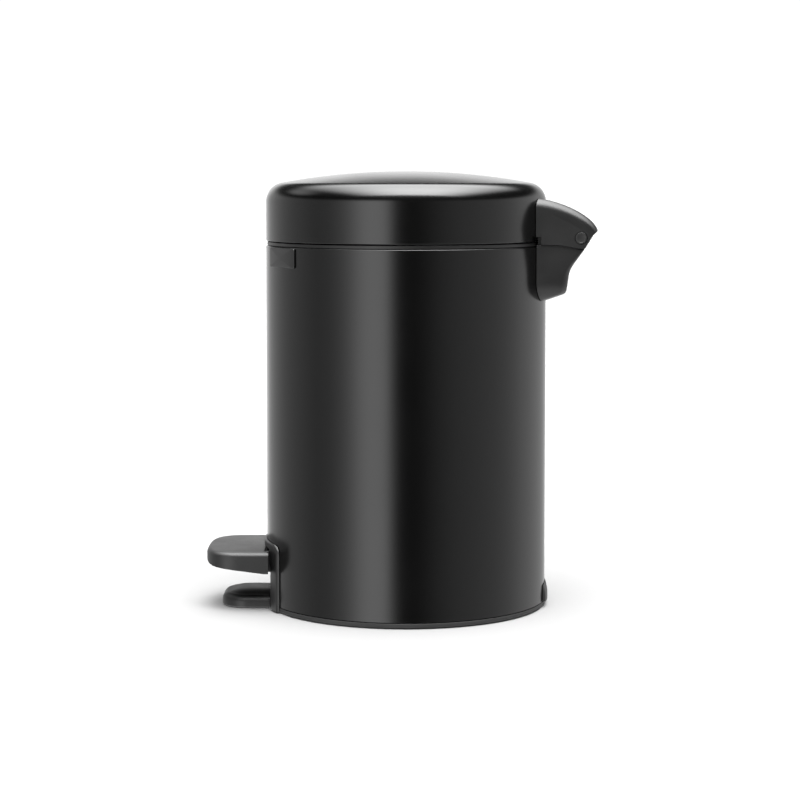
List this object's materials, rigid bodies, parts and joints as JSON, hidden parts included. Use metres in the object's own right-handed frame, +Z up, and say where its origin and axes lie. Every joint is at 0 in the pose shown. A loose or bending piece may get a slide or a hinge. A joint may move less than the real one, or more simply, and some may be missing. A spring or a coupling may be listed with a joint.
{
  "type": "pedal trash can",
  "caption": "Small round pedal bin in satin black steel with a domed lid, rear hinge, push-rod pedal and lift-out inner bucket.",
  "frame": {"origin": "centre of the base's underside, on the floor and on the body's axis", "axes": "+Z up; -Y towards the pedal and the user, +Y towards the hinge; +X to the left of someone facing the pedal side"},
  "size_m": [0.172, 0.238, 0.2673],
  "materials": {
    "coated_steel": "satin",
    "bright_steel": "satin",
    "black_plastic": "matte",
    "grey_plastic": "matte",
    "soft_black": "matte"
  },
  "bodies": {
    "bin": {"body_shell": "coated_steel", "top_ring": "black_plastic", "badge": "black_plastic", "base_tray": "grey_plastic", "floor_ring": "soft_black", "rear_tab": "black_plastic", "pedal_frame": "black_plastic", "front_foot": "black_plastic", "pedal_axle": "bright_steel", "axle_clip_left": "bright_steel", "axle_clip_right": "bright_steel", "rod_guide_lower": "grey_plastic", "rod_guide_upper": "grey_plastic", "hinge_base": "black_plastic", "hinge_pin": "bright_steel", "hinge_plate_left": "bright_steel", "hinge_plate_right": "bright_steel", "hinge_screw_1": "bright_steel", "hinge_screw_2": "bright_steel", "hinge_screw_3": "bright_steel", "hinge_screw_4": "bright_steel", "foot_screw_left": "bright_steel", "foot_screw_right": "bright_steel"},
    "lid": {"lid_cap": "coated_steel", "lid_liner": "black_plastic", "hinge_cover": "black_plastic", "lid_crank": "grey_plastic", "pin_cap_left": "black_plastic", "pin_cap_right": "black_plastic", "lid_screw_left": "bright_steel", "lid_screw_right": "bright_steel", "lid_buffer_1": "soft_black", "lid_buffer_2": "soft_black", "lid_buffer_3": "soft_black"},
    "pedal": {"pedal_pad": "black_plastic", "pedal_lever": "bright_steel", "pedal_screw_left": "bright_steel", "pedal_screw_right": "bright_steel"},
    "rod": {"push_rod": "bright_steel", "rod_foot": "grey_plastic", "rod_shoe": "grey_plastic"},
    "bucket": {"inner_bucket": "grey_plastic"},
    "bail": {"bucket_handle": "bright_steel"}
  },
  "joints": [
    {"name": "lid_hinge", "type": "hinge", "parent": "bin", "child": "lid", "pos_m": [0, 0.1049, 0.2272], "axis": [-1, 0, 0], "range_deg": [0, 82]},
    {"name": "pedal_tilt", "type": "hinge", "parent": "bin", "child": "pedal", "pos_m": [0, -0.055, 0.024], "axis": [1, 0, 0], "range_deg": [0, 11.8]},
    {"name": "push_rod_slide", "type": "slide", "parent": "bin", "child": "rod", "axis": [0, 0, 1], "range_m": [0, 0.02756]},
    {"name": "bucket_lift", "type": "slide", "parent": "bin", "child": "bucket", "axis": [0, 0, 1], "range_m": [0, 0.006]},
    {"name": "bail_swing", "type": "hinge", "parent": "bucket", "child": "bail", "pos_m": [0, 0, 0.22135], "axis": [-1, 0, 0], "range_deg": [0, 15]}
  ],
  "couplings": [
    {"joint": "pedal_tilt", "follows": "lid_hinge", "ratio": 0.14382},
    {"joint": "push_rod_slide", "follows": "lid_hinge", "m_per_rad": 0.01925}
  ]
}
